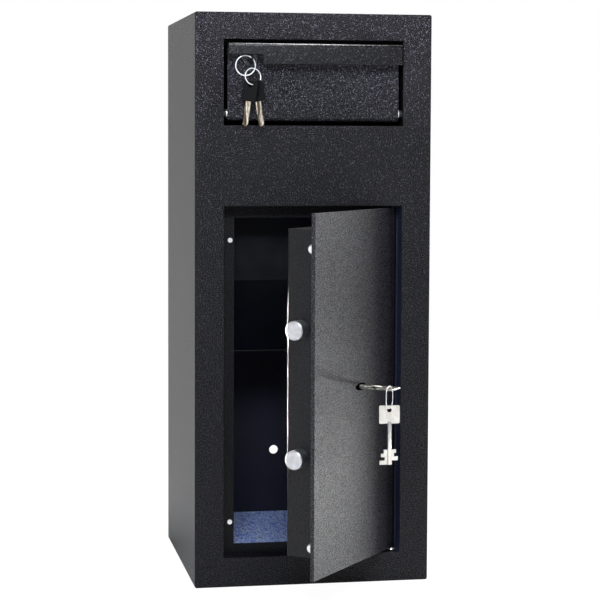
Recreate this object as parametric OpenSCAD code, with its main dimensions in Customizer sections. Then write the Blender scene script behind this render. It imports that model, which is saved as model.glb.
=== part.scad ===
// Drop safe with a tilt-out deposit hopper above a recessed, key-locked door.
// Millimetres. The origin is the centre of the cabinet's base: +X right, +Y back, +Z up.
// Inside at_front() the front face of the cabinet is y = 0 and y grows into the cabinet.
// Inside on_door() the door's pieces are drawn shut, and swung open by door_angle.

/* [Cabinet] */
// Width of the cabinet
body_w = 350; // [320:5:420]
// Depth of the cabinet
body_d = 350; // [330:5:450]
// Height of the cabinet
body_h = 840; // [800:5:900]
// Thickness of the body's sheet
body_t = 3; // [2:0.5:5]
// Thickness of the front sheet
front_t = 3; // [2:0.5:4]
// Radius of the body's long corners
corner_r = 3; // [1:0.5:6]
// Diameter of the wall anchor hole in the back
anchor_d = 14.5; // [8:0.5:20]
// Height of the wall anchor hole above the floor
anchor_z = 143; // [110:1:200]

/* [Door opening] */
// Width of the door opening
door_open_w = 265; // [255:1:275]
// Height of the sill above the floor
sill_z = 43; // [42:1:50]
// Height of the front sheet between the two openings
between_h = 117; // [110:1:125]
// Thickness of the frame's folded sheet
frame_t = 2.5; // [1.5:0.5:3]
// Gap between the shut door and the stop flange
stop_gap = 2; // [1.5:0.5:4]
// Thickness of the stop flange
stop_t = 3; // [2:0.5:4]
// Width of the stop flange at the sides
stop_side = 19; // [14:1:22]
// Width of the stop flange at the top
stop_top = 18; // [10:1:20]
// Width of the stop flange at the bottom
stop_bottom = 15; // [10:1:20]
// Head diameter of the two frame screws
frame_screw_d = 7; // [5:1:9]

/* [Door] */
// How far the door stands open
door_angle = 51.5; // [0:0.5:90]
// Depth of the shut door's face behind the front
door_recess = 20; // [16:1:24]
// Thickness of the door plate
plate_t = 6; // [6:0.5:8]
// Gap between the door and its opening at the lock side
gap_side = 2.5; // [2:0.5:4]
// Gap under the door
gap_low = 3; // [3:0.5:5]
// Gap above the door
gap_top = 3.5; // [3:0.5:5]
// Distance from the hinge axis to the side of the opening
hinge_in = 8; // [7:0.5:10]
// Diameter of the hinge rod along the door's edge
rod_d = 9; // [8:0.5:9]
// Diameter of the hinge pins
pin_d = 5; // [4:0.5:5]
// How deep the hinge pins enter the rod
pin_depth = 12; // [8:1:20]
// Diameter of the cone washer under the door
washer_d = 13; // [11:1:14]

/* [Door cover] */
// Distance from the door's free edge to the cover
cover_in_lock = 26; // [26:1:34]
// Distance from the hinge axis to the cover
cover_in_hinge = 18.5; // [16:0.5:30]
// Distance from the door's lower edge to the cover
cover_in_low = 26; // [20:1:40]
// Distance from the door's top edge to the cover
cover_in_top = 23.5; // [20:1:40]
// Depth of the cover behind the door plate
cover_d = 51.5; // [50:0.5:55]
// Thickness of the cover's sheet
cover_t = 1.5; // [1:0.5:2]
// Radius of the cover's folded edges
cover_r = 3; // [2:0.5:5]
// Distance from the door plate to the cover screws
cover_screw_in = 12; // [11:0.5:20]
// Height of the lower cover screws above the cover's lower edge
cover_screw_low = 14; // [13:1:30]
// Distance of the upper cover screws below the cover's top edge
cover_screw_top = 27.5; // [14:0.5:40]
// Head diameter of the cover screws
cover_screw_d = 14; // [8:0.5:15]

/* [Bolts] */
// Diameter of the round bolts
bolt_d = 27; // [22:0.5:28]
// How far the thrown bolts stand out of the cover
bolt_out = 21.5; // [20:0.5:24]
// Travel of the bolts
bolt_throw = 20; // [15:0.5:20]
// Distance from the door plate to the bolts' axis
bolt_in = 30; // [28:0.5:31]
// Height of the lower bolt
bolt_low_z = 212; // [190:1:230]
// Height of the upper bolt
bolt_high_z = 393; // [375:1:410]
// Length of a bolt
bolt_l = 55.5; // [50:0.5:60]
// Thickness of the bar that joins the bolts
bar_t = 6; // [4:0.5:8]
// Width of the bar that joins the bolts
bar_w = 24; // [18:1:26]
// Running clearance of a bolt in its guide, all round
bolt_gap = 0.3; // [0.2:0.1:0.6]

/* [Door lock and keys] */
// Keyhole to the middle of the door opening
key_x = 13; // [0:1:20]
// Height of the keyhole
key_z = 302; // [290:1:310]
// Width of the lock case
case_w = 75; // [70:1:80]
// Height of the lock case
case_h = 76; // [60:1:100]
// Depth of the lock case
case_d = 24.5; // [24:0.5:26]
// Total length of a door key
key_l = 85; // [82:1:88]
// Width of a door key's bow
bow_w = 30; // [24:1:30]
// Length of a door key's bow
bow_l = 26; // [20:1:30]
// Thickness of a door key's bow
bow_t = 2; // [1.5:0.5:2]
// Diameter of the hole in the bow
bow_hole_d = 6.8; // [6.4:0.2:7.4]
// Distance from the bow's end to its hole
bow_hole_in = 6.5; // [6:0.5:8]
// Diameter of a door key's shank
shank_d = 6; // [5:0.5:7]
// Length of a door key's bits
bit_l = 21.5; // [18:0.5:22]
// Thickness of a door key's bits
bit_t = 3; // [2:0.5:3]
// How far the key stands out of the door's face
key_out = 56.5; // [56:0.5:58]
// Diameter of the wire loop's wire
loop_wire = 1.2; // [0.8:0.1:1.2]
// Radius of the wire loop's round ends
loop_r = 10.8; // [10.8:0.1:12]
// Length of the wire loop's straight sides
loop_side = 10.2; // [8:0.2:14]

/* [Hopper opening] */
// Width of the hopper opening
hopper_open_w = 266; // [256:1:270]
// Distance of the hopper opening below the cabinet's top
hopper_top_in = 38.5; // [36:0.5:44]
// Height of the hopper opening
hopper_open_h = 124.5; // [122:0.5:130]
// Depth of the hopper frame at the sides and top
hopper_frame_d = 32; // [30:1:32]
// Depth of the hopper frame at the bottom
hopper_sill_d = 18; // [12:1:19]

/* [Hopper] */
// How far the panel's face lies behind the front
panel_in = 5; // [4:0.5:7]
// Thickness of the hopper panel
panel_t = 2; // [1.5:0.5:3]
// Gap between the panel and the opening at each side
panel_gap = 6; // [5:0.5:8]
// Gap under the panel
panel_gap_low = 6.5; // [6:0.5:8]
// Outer radius of the bend along the panel's lower edge
panel_r = 6; // [4:0.5:6]
// Gap above the handle lip
lip_gap_top = 6.5; // [6:0.5:8]
// Height of the handle lip's front
lip_h = 29.5; // [25:0.5:34]
// How far the handle lip stands in front of the cabinet
lip_out = 19; // [18:0.5:24]
// Thickness of the handle lip
lip_t = 2; // [1.5:0.5:2.5]
// How much wider than the panel the lip is, at each side
lip_over = 1.5; // [0:0.5:3]
// Outer radius of the lip's bend
lip_r = 4; // [3:0.5:6]
// Width of the notch that clears the lock
notch_w = 50.5; // [46:0.5:60]
// Height of the notch that clears the lock
notch_h = 13.5; // [12:0.5:20]
// Distance of the hopper's pivot behind the front
pivot_in = 14; // [14:0.5:15]
// Height of the pivot above the opening's lower edge
pivot_up = 17; // [15:0.5:18]
// Diameter of the pivot pins
pivot_d = 8; // [6:0.5:8]
// Thickness of the washer beside each cheek
pivot_washer_t = 2.2; // [1.4:0.2:3]
// Head and washer diameter at the pivots
pivot_head_d = 13; // [12:0.5:13]
// Running clearance of the pivot pins, all round
pivot_gap = 0.2; // [0.1:0.05:0.3]
// Radius of the hopper's cheeks
cheek_r = 98; // [94:0.5:98]
// Thickness of the cheeks and of the hopper floor
cheek_t = 1.6; // [1:0.2:2.4]
// Slope of the hopper floor when shut
floor_slope = 25; // [24:0.5:26]
// Distance from the hopper floor to the pivot axis
floor_drop = 9; // [8.5:0.5:9.5]

/* [Drop path] */
// Running gap between the cheeks and the throat guard
guard_gap = 5; // [4:0.5:8]
// Thickness of the guard's and the chute's sheet
chute_t = 1.5; // [1:0.5:2.5]
// Angle above level at which the guard starts
guard_low = 27; // [20:1:32]
// Angle above level at which the guard's bend ends
guard_high = 72; // [66:1:74]
// Distance of the chute's upright wall behind the front
chute_in = 84; // [80:1:90]
// Distance of the chute's bend below the top of the door opening
chute_bend_drop = 114; // [90:1:130]
// Distance of the chute's lower edge behind the front
chute_low_in = 200; // [180:1:220]
// Fall of the slope from the chute's bend to its lower edge
chute_low_drop = 123; // [100:1:145]
// Distance of the chute's front edge below the hopper opening
chute_top_drop = 12; // [11:1:16]
// Fall of the chute's top from front to bend
chute_fall = 25; // [22:1:28]
// Height of the raised floor
floor_z = 38; // [30:1:40]
// Thickness of the raised floor
floor_t = 2; // [1.5:0.5:3]
// Thickness of the felt mat
mat_t = 3; // [2:0.5:4]

/* [Hopper lock and keys] */
// Distance of the lock from the panel's left edge
cam_in = 33; // [30:1:35]
// Height of the lock's axis above the opening's lower edge
cam_up = 97; // [95:1:98]
// Diameter of the lock's barrel
barrel_d = 18; // [16:0.5:19]
// Diameter of the barrel's collar
collar_d = 22; // [20:0.5:24]
// Length of the barrel behind the panel's face
barrel_l = 26; // [24:1:26]
// Diameter of the turning plug
plug_d = 12; // [11:0.5:13]
// Length of the latch cam from the lock's axis
latch_l = 24; // [22:0.5:25]
// Width of the latch cam
latch_w = 14; // [12:0.5:15]
// Width of a small key's plastic head
head_w = 20; // [18:0.5:20]
// Thickness of a small key's plastic head
head_t = 2.6; // [2:0.1:2.8]
// Diameter of the hole in a small key's head
head_hole_d = 8.2; // [8:0.2:8.4]
// Length of the plastic head of the key in the lock
head_l = 18.9; // [17:0.1:19]
// Length of the plastic heads of the hanging keys
tag_head_l = 30; // [20:0.5:32]
// Width of the plastic heads of the hanging keys
tag_head_w = 23; // [18:0.5:24]
// Width of a small key's blade
blade_w = 8; // [6:0.5:8.5]
// Thickness of a small key's blade
blade_t = 2.2; // [1.6:0.2:2.4]
// Length of a small key's blade
blade_l = 36; // [28:1:38]
// Radius of the large ring, to the middle of its wire
ring_r = 14.3; // [14.3:0.1:15]
// Diameter of the large ring's wire
ring_wire = 1.8; // [1.4:0.1:1.8]
// Radius of the small ring, to the middle of its wire
small_ring_r = 12; // [11.5:0.1:12.5]
// Diameter of the small ring's wire
small_ring_wire = 1.6; // [1.2:0.1:1.8]

/* [Hidden] */
$fn = 48;
eps = 0.01;

// Door opening and frame
hopper_open_top = body_h - hopper_top_in;
hopper_open_z = hopper_open_top - hopper_open_h;
door_half = door_open_w/2;
door_open_top = hopper_open_z - between_h;
stop_in = door_recess + plate_t + stop_gap;
stop_back = stop_in + stop_t;

// Door
hinge_x = door_half - hinge_in;
hinge_y = door_recess + plate_t/2;
door_x0 = -door_half + gap_side;
door_z0 = sill_z + gap_low;
door_z1 = door_open_top - gap_top;
plate_back = door_recess + plate_t;
rod_seam = 0.5;
pin_head_d = 2*pin_d;
pin_head_t = 3;
pin_gap = 0.2;
washer_h = gap_low - 0.3;
washer_room = 0.5;

// Cover
cover_x0 = door_x0 + cover_in_lock;
cover_x1 = hinge_x - cover_in_hinge;
cover_z0 = door_z0 + cover_in_low;
cover_z1 = door_z1 - cover_in_top;
cover_back = plate_back + cover_d;
cover_screw_y = plate_back + cover_screw_in;
cover_screw_zs = [cover_z0 + cover_screw_low, cover_z1 - cover_screw_top];
cover_screw_h = 3;
bracket_t = 2;
bracket_w = 24;
bracket_leg = 20;
bracket_arm = cover_screw_in + 10;

// Bolts
bolt_y = plate_back + bolt_in;
bolt_tip_x = cover_x0 - bolt_out;
bar_x = bolt_tip_x + bolt_l;
bolt_zs = [bolt_low_z, bolt_high_z];
bar_over = 22;
bolt_chamfer = 1.5;
guide_x = cover_x0 + 12;
guide_t = 3;
guide_foot = 20;
guide_edge = 3;
bolt_screw_d = 12;
bolt_screw_h = 4;

// Lock of the door
case_x0 = key_x + 30 - case_w;
case_back = plate_back + case_d;
cover_plate_t = 1.5;
bit_reach = 14;
chamber_r = bit_reach + 0.8;
chamber_end = 1;
slot_w = bit_t + 1;
key_hole_d = shank_d + 3;
arm_t = 6;
arm_h = 20;
arm_gap = 0.5;
arm_lead = 2;
arm_x1 = case_x0 + arm_lead;
case_screw_in = 7;
case_screw_d = 8;
case_screw_h = 2;

// Door keys and loop: places in the door's frame, with the door shut
key_hole_y = door_recess - key_out + bow_hole_in;
bits_l = key_l - bow_hole_in - bit_l;
loop_lean = 35;
loop_x = key_x - loop_r*cos(loop_lean);
loop_z = key_z - loop_r*sin(loop_lean);
loop_low_z = loop_z - loop_side - loop_r;
spare_drop = bow_hole_d/2 - loop_wire/2 - 0.6;

// Hopper
panel_half = hopper_open_w/2 - panel_gap;
panel_back = panel_in + panel_t;
panel_z0 = hopper_open_z + panel_gap_low;
lip_top = hopper_open_top - lip_gap_top;
panel_z1 = lip_top - lip_t;
lip_half = panel_half + lip_over;
pivot_z = hopper_open_z + pivot_up;
cheek_x = panel_half - 1;
guard_r = cheek_r + guard_gap;
frame_half = hopper_open_w/2;
pivot_head_t = 3;
washer_gap = 0.3;
washer_x = cheek_x + washer_gap + pivot_washer_t;
nut_d = 14;
nut_t = 6;

// Lock of the hopper
cam_x = -panel_half + cam_in;
cam_z = hopper_open_z + cam_up;
barrel_front = panel_in - 2;
barrel_back = panel_in + barrel_l;
plug_gap = 0.2;
plug_front = barrel_front + 0.3;
latch_t = 2.5;
latch_front = hopper_frame_d + 1;
latch_back = latch_front + latch_t;
strike_t = 2.5;
strike_h = 11.5;
strike_w = 28;
strike_notch_d = 8;
barrel_nut_d = 27;
barrel_nut_t = 3;
head_front = barrel_front - 0.3;
head_hole_in = 5.8;
head_hole_y = head_front - head_l + head_hole_in;
blade_in = 19;

// Rings: the large one passes through the head's hole on the lock's axis
ring_lean = 51;
ring_x = cam_x - ring_r*cos(ring_lean);
ring_z = cam_z - ring_r*sin(ring_lean);
link_l = 19;
link_lean = -55;
link_line = [-cos(link_lean), 0, -sin(link_lean)];
small_tilt = 16;
small_centre = [ring_x, head_hole_y, ring_z] - link_l*link_line;
tag_turn = -32;
tag_drop = 0.9;
tag_a_at = -20;
tag_b_at = 20;
tag_a_lean = 8;
tag_b_lean = -9;
groove_w = 1.4;
groove_d = 0.4;

// Drop path
chute_bend_z = door_open_top - chute_bend_drop;
chute_low_z = chute_bend_z - chute_low_drop;
chute_top_z = hopper_open_z - chute_top_drop;
chute_flange = 14;
guard_flange = 18;
inner_half = body_w/2 - body_t;
inner_back = body_d - body_t;
mat_gap = 3;
hem_d = 5;
floor_front = stop_back + 3;

module at_front() {
    translate([0, -body_d/2, 0]) children();
}

module on_door() {
    at_front()
        translate([hinge_x, hinge_y, 0])
            rotate([0, 0, door_angle])
                translate([-hinge_x, -hinge_y, 0]) children();
}

// A flat shape drawn in X and Z, given thickness from y0 to y1
module slab_y(y0, y1) {
    translate([0, y1, 0]) rotate([90, 0, 0]) linear_extrude(y1 - y0) children();
}

// A profile drawn in Y and Z, run along X from x0 to x1
module run_x(x0, x1) {
    translate([x0, 0, 0]) rotate([90, 0, 90]) linear_extrude(x1 - x0) children();
}

module rod_y(x, z, y0, y1, d) {
    translate([x, y0, z]) rotate([-90, 0, 0]) cylinder(d = d, h = y1 - y0);
}

module rod_x(y, z, x0, x1, d) {
    translate([x0, y, z]) rotate([0, 90, 0]) cylinder(d = d, h = x1 - x0);
}

module rod_z(x, y, z0, z1, d) {
    translate([x, y, z0]) cylinder(d = d, h = z1 - z0);
}

module box(x0, x1, y0, y1, z0, z1) {
    translate([x0, y0, z0]) cube([x1 - x0, y1 - y0, z1 - z0]);
}

module rect(x0, x1, y0, y1) {
    translate([x0, y0]) square([x1 - x0, y1 - y0]);
}

module round_rect(x0, x1, y0, y1, r) {
    rect(x0 + r, x1 - r, y0, y1);
    rect(x0, x1, y0 + r, y1 - r);
    for (x = [x0 + r, x1 - r], y = [y0 + r, y1 - r]) translate([x, y]) circle(r = r);
}

// Outline of a folded sheet of thickness t, whose middle follows the points
function sheet_outline(points, t) = let (
    last = len(points) - 1,
    way = [for (i = [0:last - 1]) (points[i + 1] - points[i])/norm(points[i + 1] - points[i])],
    side = [for (i = [0:last]) let (
        a = way[max(i - 1, 0)],
        b = way[min(i, last - 1)]
    ) [-a[1] - b[1], a[0] + b[0]]/(1 + a*b)]
) concat(
    [for (i = [0:last]) points[i] - side[i]*t/2],
    [for (i = [0:last]) points[last - i] + side[last - i]*t/2]
);

// A sector ring between two radii and two angles, about the origin
module arc_band(r0, r1, a0, a1) {
    steps = 12;
    function wedge(r) = [for (i = [0:steps]) let (a = a0 + (a1 - a0)*i/steps) r*[cos(a), sin(a)]];
    intersection() {
        difference() {
            circle(r = r1, $fn = 120);
            circle(r = r0, $fn = 120);
        }
        polygon(concat([[0, 0]], wedge(2*r1)));
    }
}

module torus(r, wire) {
    rotate_extrude($fn = 64) translate([r, 0]) circle(d = wire, $fn = 20);
}

module half_torus(r, wire) {
    rotate_extrude(angle = 180, $fn = 64) translate([r, 0]) circle(d = wire, $fn = 20);
}

// CABINET

module body_wrap() {
    color("#2b2b2e") at_front()
        slab_y(front_t, body_d) difference() {
            round_rect(-body_w/2, body_w/2, 0, body_h, corner_r);
            rect(-inner_half, inner_half, body_t, body_h - body_t);
        }
}

module back_panel() {
    color("#29292c") at_front() difference() {
        box(-inner_half, inner_half, inner_back, body_d, body_t, body_h - body_t);
        rod_y(0, anchor_z, inner_back - 1, body_d + 1, anchor_d);
    }
}

module front_panel() {
    color("#2f2f32") at_front() slab_y(0, front_t) difference() {
        round_rect(-body_w/2, body_w/2, 0, body_h, corner_r);
        rect(-door_half, door_half, sill_z, door_open_top);
        rect(-frame_half, frame_half, hopper_open_z, hopper_open_top);
    }
}

// Folded returns round the hopper opening, with the strike for the latch cam
module hopper_frame() {
    t = frame_t;
    color("#262629") at_front() {
        difference() {
            slab_y(front_t, hopper_frame_d) difference() {
                rect(-frame_half - t, frame_half + t, hopper_open_z - t, hopper_open_top + t);
                rect(-frame_half, frame_half, hopper_open_z, hopper_open_top);
            }
            box(-frame_half, frame_half, hopper_sill_d, hopper_frame_d + 1,
                hopper_open_z - t - 1, hopper_open_z + 1);
            rod_x(pivot_in, pivot_z, -frame_half - t - 1, frame_half + t + 1, pivot_d);
        }
        difference() {
            box(cam_x - strike_w/2, cam_x + strike_w/2, hopper_frame_d - strike_t, hopper_frame_d,
                hopper_open_top - strike_h, hopper_open_top);
            rod_y(cam_x, hopper_open_top - strike_h, 0, body_d, strike_notch_d);
        }
    }
}

// Folded returns round the door opening, with the flange that the door shuts against
module door_frame() {
    t = frame_t;
    color("#262629") at_front() difference() {
        union() {
            slab_y(front_t, stop_back) difference() {
                rect(-door_half - t, door_half + t, sill_z - t, door_open_top + t);
                rect(-door_half, door_half, sill_z, door_open_top);
            }
            slab_y(stop_in, stop_back) difference() {
                rect(-door_half - t, door_half + t, sill_z - t, door_open_top + t);
                rect(-door_half + stop_side, door_half - stop_side,
                     sill_z + stop_bottom, door_open_top - stop_top);
            }
        }
        rod_z(hinge_x, hinge_y, sill_z - t - 1, sill_z + 1, pin_d);
        rod_z(hinge_x, hinge_y, door_open_top - 1, door_open_top + t + 1, pin_d);
        rod_z(hinge_x, hinge_y, sill_z, sill_z + gap_low, washer_d + 2*washer_room);
        for (z = frame_screw_zs) rod_y(frame_screw_x, z, stop_in - 1, stop_back + 1, frame_screw_d/2);
    }
}

frame_screw_x = -door_half + 13;
frame_screw_zs = [sill_z + 48, door_open_top - 51];
frame_screw_h = 1.3;

module frame_screws() {
    color("#c9c9c4") at_front() for (z = frame_screw_zs) difference() {
        union() {
            rod_y(frame_screw_x, z, stop_in - frame_screw_h, stop_in, frame_screw_d);
            rod_y(frame_screw_x, z, stop_in - eps, stop_back + 4, frame_screw_d/2);
        }
        for (a = [0, 90]) translate([frame_screw_x, stop_in - frame_screw_h, z]) rotate([0, a, 0])
            cube([0.6*frame_screw_d, 1.4, 1], center = true);
    }
}

module inner_floor() {
    color("#242427") at_front() {
        box(-inner_half, inner_half, floor_front, inner_back, floor_z - floor_t, floor_z);
        for (y = [floor_front, inner_back - floor_t])
            box(-inner_half, inner_half, y, y + floor_t, body_t, floor_z - floor_t);
    }
}

module floor_mat() {
    color("#6f7fb8") at_front()
        box(-inner_half + mat_gap, inner_half - mat_gap, floor_front + mat_gap, inner_back - mat_gap,
            floor_z, floor_z + mat_t);
}

// The wall behind the door opening, with the slope that leads deposits to the back
module drop_chute() {
    edge = [chute_low_in, chute_low_z + hem_d/2];
    color("#1d1e22") at_front() run_x(-inner_half, inner_half) {
        polygon(sheet_outline([
            [front_t + chute_t/2, chute_top_z - chute_flange],
            [front_t + chute_t/2, chute_top_z],
            [chute_in, chute_top_z - chute_fall],
            [chute_in, chute_bend_z],
            edge
        ], chute_t));
        translate(edge) circle(d = hem_d);
    }
}

// Curved baffle that the open hopper's floor meets, hung from the top of the cabinet
module throat_guard() {
    mid = guard_r + chute_t/2;
    bend = [pivot_in, pivot_z] + mid*[cos(guard_high), sin(guard_high)];
    top_z = body_h - body_t;
    color("#1d1e22") at_front() run_x(-inner_half, inner_half) {
        translate([pivot_in, pivot_z]) arc_band(guard_r, guard_r + chute_t, guard_low, guard_high);
        polygon(sheet_outline([
            bend - [0, chute_t/3],
            [bend[0], top_z - chute_t/2],
            [bend[0] + guard_flange, top_z - chute_t/2]
        ], chute_t));
    }
}

module hinge_pins() {
    color("#b9babc") at_front() {
        rod_z(hinge_x, hinge_y, sill_z - frame_t - pin_head_t, sill_z - frame_t, pin_head_d);
        rod_z(hinge_x, hinge_y, sill_z - frame_t - eps, door_z0 + pin_depth, pin_d);
        rod_z(hinge_x, hinge_y, door_open_top + frame_t, door_open_top + frame_t + pin_head_t, pin_head_d);
        rod_z(hinge_x, hinge_y, door_z1 - pin_depth, door_open_top + frame_t + eps, pin_d);
    }
}

module hinge_washer() {
    color("#d8d8d6") at_front() translate([hinge_x, hinge_y, sill_z]) difference() {
        cylinder(d1 = washer_d, d2 = rod_d, h = washer_h);
        translate([0, 0, -1]) cylinder(d = pin_d, h = washer_h + 2);
    }
}

// Hopper pivots: a pin with its head inside each cheek, a washer and a spacer in the side gap, a nut outside
module pivot_pins() {
    head_x = cheek_x - cheek_t - washer_gap;
    color("#b9babc") at_front() for (s = [-1, 1]) scale([s, 1, 1]) {
        rod_x(pivot_in, pivot_z, head_x - pivot_head_t, head_x, pivot_head_d);
        rod_x(pivot_in, pivot_z, head_x - eps, frame_half + frame_t + nut_t + 1, pivot_d);
    }
}

module pivot_washers() {
    color("#d8d8d6") at_front() for (s = [-1, 1]) scale([s, 1, 1]) difference() {
        rod_x(pivot_in, pivot_z, cheek_x + washer_gap, washer_x, pivot_head_d);
        rod_x(pivot_in, pivot_z, cheek_x, washer_x + 1, pivot_d);
    }
}

module pivot_spacers() {
    color("#3a3b3e") at_front() for (s = [-1, 1]) scale([s, 1, 1]) difference() {
        rod_x(pivot_in, pivot_z, washer_x, frame_half, pivot_head_d);
        rod_x(pivot_in, pivot_z, washer_x - 1, frame_half + 1, pivot_d);
    }
}

module pivot_nuts() {
    x0 = frame_half + frame_t;
    color("#b9babc") at_front() for (s = [-1, 1]) scale([s, 1, 1]) difference() {
        translate([x0, pivot_in, pivot_z]) rotate([0, 90, 0]) cylinder(d = nut_d, h = nut_t, $fn = 6);
        rod_x(pivot_in, pivot_z, x0 - 1, x0 + nut_t + 1, pivot_d);
    }
}

// DOOR

module key_slot() {
    circle(d = key_hole_d);
    translate([-bit_reach - 1, -slot_w/2]) square([2*bit_reach + 2, slot_w]);
}

module door_plate() {
    color("#3a3a3d") on_door() difference() {
        box(door_x0, hinge_x - rod_d/2 + rod_seam, door_recess, plate_back, door_z0, door_z1);
        rod_z(hinge_x, hinge_y, door_z0 - 1, door_z1 + 1, rod_d);
        slab_y(door_recess - 1, plate_back + 1) translate([key_x, key_z]) key_slot();
    }
}

module hinge_rod() {
    color("#333336") on_door() difference() {
        rod_z(hinge_x, hinge_y, door_z0, door_z1, rod_d);
        rod_z(hinge_x, hinge_y, door_z0 - 1, door_z0 + pin_depth + 1, pin_d + 2*pin_gap);
        rod_z(hinge_x, hinge_y, door_z1 - pin_depth - 1, door_z1 + 1, pin_d + 2*pin_gap);
    }
}

// A tray of folded sheet, open towards the door plate
module door_cover() {
    t = cover_t;
    color("#2a2a2d") on_door() difference() {
        union() {
            linear_extrude_z(cover_z0, cover_z1) {
                rect(cover_x0, cover_x1, plate_back, cover_back - cover_r);
                rect(cover_x0 + cover_r, cover_x1 - cover_r, cover_back - cover_r - eps, cover_back);
                for (x = [cover_x0 + cover_r, cover_x1 - cover_r])
                    translate([x, cover_back - cover_r]) circle(r = cover_r);
            }
        }
        box(cover_x0 + t, cover_x1 - t, plate_back - 1, cover_back - t, cover_z0 + t, cover_z1 - t);
        for (z = bolt_zs) rod_x(bolt_y, z, cover_x0 - 1, cover_x0 + t + 1, bolt_d + 4*bolt_gap);
        for (z = cover_screw_zs) rod_x(cover_screw_y, z, cover_x0 - 1, cover_x1 + 1, cover_screw_shank);
    }
}

cover_screw_shank = 5;

module linear_extrude_z(z0, z1) {
    translate([0, 0, z0]) linear_extrude(z1 - z0) children();
}

module cover_side(s) {
    x = s < 0 ? cover_x0 : cover_x1;
    translate([x, 0, 0]) scale([-s, 1, 1]) children();
}

module cover_brackets() {
    color("#333336") on_door() for (s = [-1, 1], z = cover_screw_zs) cover_side(s) difference() {
        union() {
            box(cover_t, cover_t + bracket_t, plate_back, plate_back + bracket_arm,
                z - bracket_w/2, z + bracket_w/2);
            box(cover_t, cover_t + bracket_leg, plate_back, plate_back + bracket_t,
                z - bracket_w/2, z + bracket_w/2);
        }
        rod_x(cover_screw_y, z, 0, bracket_leg, cover_screw_shank);
    }
}

module cover_screws() {
    color("#e2e2df") on_door() for (s = [-1, 1], z = cover_screw_zs) cover_side(s) difference() {
        union() {
            translate([0, cover_screw_y, z]) rotate([0, -90, 0])
                cylinder(d1 = cover_screw_d, d2 = 0.7*cover_screw_d, h = cover_screw_h);
            rod_x(cover_screw_y, z, -eps, cover_t + bracket_t + 4, cover_screw_shank);
        }
        for (a = [0, 90]) translate([-cover_screw_h, cover_screw_y, z]) rotate([a, 0, 0])
            cube([2, 0.5*cover_screw_d, 1.2], center = true);
    }
}

module lock_case() {
    color("#8d8f92") on_door() difference() {
        box(case_x0, case_x0 + case_w, plate_back, case_back, key_z - case_h/2, key_z + case_h/2);
        rod_y(key_x, key_z, plate_back - 1, case_back - chamber_end, 2*chamber_r);
        box(case_x0 - 1, key_x - chamber_r - 1, case_back - arm_t - 2*arm_gap, case_back + 1,
            key_z - arm_h/2 - arm_gap, key_z + arm_h/2 + arm_gap);
        for (p = case_screw_places()) rod_y(p[0], p[1], case_back - 8, case_back + 1, case_screw_d/2);
    }
}

function case_screw_places() = [
    for (x = [case_x0 + case_screw_in, case_x0 + case_w - case_screw_in],
         z = [key_z - case_h/2 + case_screw_in, key_z + case_h/2 - case_screw_in]) [x, z]
];

module lock_cover() {
    color("#a2a4a6") on_door() slab_y(case_back, case_back + cover_plate_t) difference() {
        rect(case_x0, case_x0 + case_w, key_z - case_h/2, key_z + case_h/2);
        for (p = case_screw_places()) translate(p) circle(d = case_screw_d/2);
    }
}

module lock_screws() {
    back = case_back + cover_plate_t;
    color("#c9c9c4") on_door() for (p = case_screw_places()) difference() {
        union() {
            rod_y(p[0], p[1], back, back + case_screw_h, case_screw_d);
            rod_y(p[0], p[1], case_back - 6, back + eps, case_screw_d/2);
        }
        translate([p[0], back + case_screw_h, p[1]]) cube([case_screw_d + 1, 1.4, 1.2], center = true);
    }
}

// Angle brackets on the door plate that carry the bolts
module bolt_guides() {
    reach = bolt_y + bolt_d/2 + guide_edge;
    half = bolt_d/2 + 2*guide_edge;
    color("#8d8f92") on_door() for (z = bolt_zs) difference() {
        union() {
            box(guide_x, guide_x + guide_t, plate_back, reach, z - half, z + half);
            box(guide_x, guide_x + guide_foot, plate_back, plate_back + guide_t, z - half, z + half);
        }
        rod_x(bolt_y, z, guide_x - 1, guide_x + guide_t + 1, bolt_d + 2*bolt_gap);
    }
}

// BOLT CARRIAGE

module round_bolt(z) {
    color("#dcdde0") on_door() translate([bolt_tip_x, bolt_y, z]) rotate([0, 90, 0]) {
        cylinder(d1 = bolt_d - 2*bolt_chamfer, d2 = bolt_d, h = bolt_chamfer);
        translate([0, 0, bolt_chamfer - eps]) cylinder(d = bolt_d, h = bolt_l - bolt_chamfer + eps);
    }
}

module upper_bolt() {
    round_bolt(bolt_high_z);
}

module lower_bolt() {
    round_bolt(bolt_low_z);
}

module bolt_bar() {
    color("#8d8f92") on_door()
        translate([bar_x, 0, 0]) rotate([90, 0, 90]) linear_extrude(bar_t)
            round_rect(bolt_y - bar_w/2, bolt_y + bar_w/2, bolt_low_z - bar_over, bolt_high_z + bar_over, 4);
}

module bolt_screws() {
    x = bar_x + bar_t;
    color("#c9c9c4") on_door() for (z = bolt_zs) difference() {
        rod_x(bolt_y, z, x, x + bolt_screw_h, bolt_screw_d);
        translate([x + bolt_screw_h, bolt_y, z]) rotate([0, 90, 0]) cylinder(d = 6, h = 5, center = true, $fn = 6);
    }
}

module drive_arm() {
    color("#8d8f92") on_door()
        box(bar_x + bar_t, arm_x1, case_back - arm_t - arm_gap, case_back - arm_gap,
            key_z - arm_h/2, key_z + arm_h/2);
}

// DOOR KEYS

// Half outline of the stepped bits: [reach, share of the bits' length it ends at]
left_steps = [[8, 0.26], [12, 0.5], [6.5, 0.72], [bit_reach, 1]];
right_steps = [[10, 0.22], [7, 0.46], [12.5, 0.72], [4, 1]];

module bit_side(steps) {
    for (i = [0:len(steps) - 1]) {
        start = i == 0 ? 0 : steps[i - 1][1];
        translate([0, -bit_l*steps[i][1]]) square([steps[i][0], bit_l*(steps[i][1] - start) + eps]);
    }
}

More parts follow.
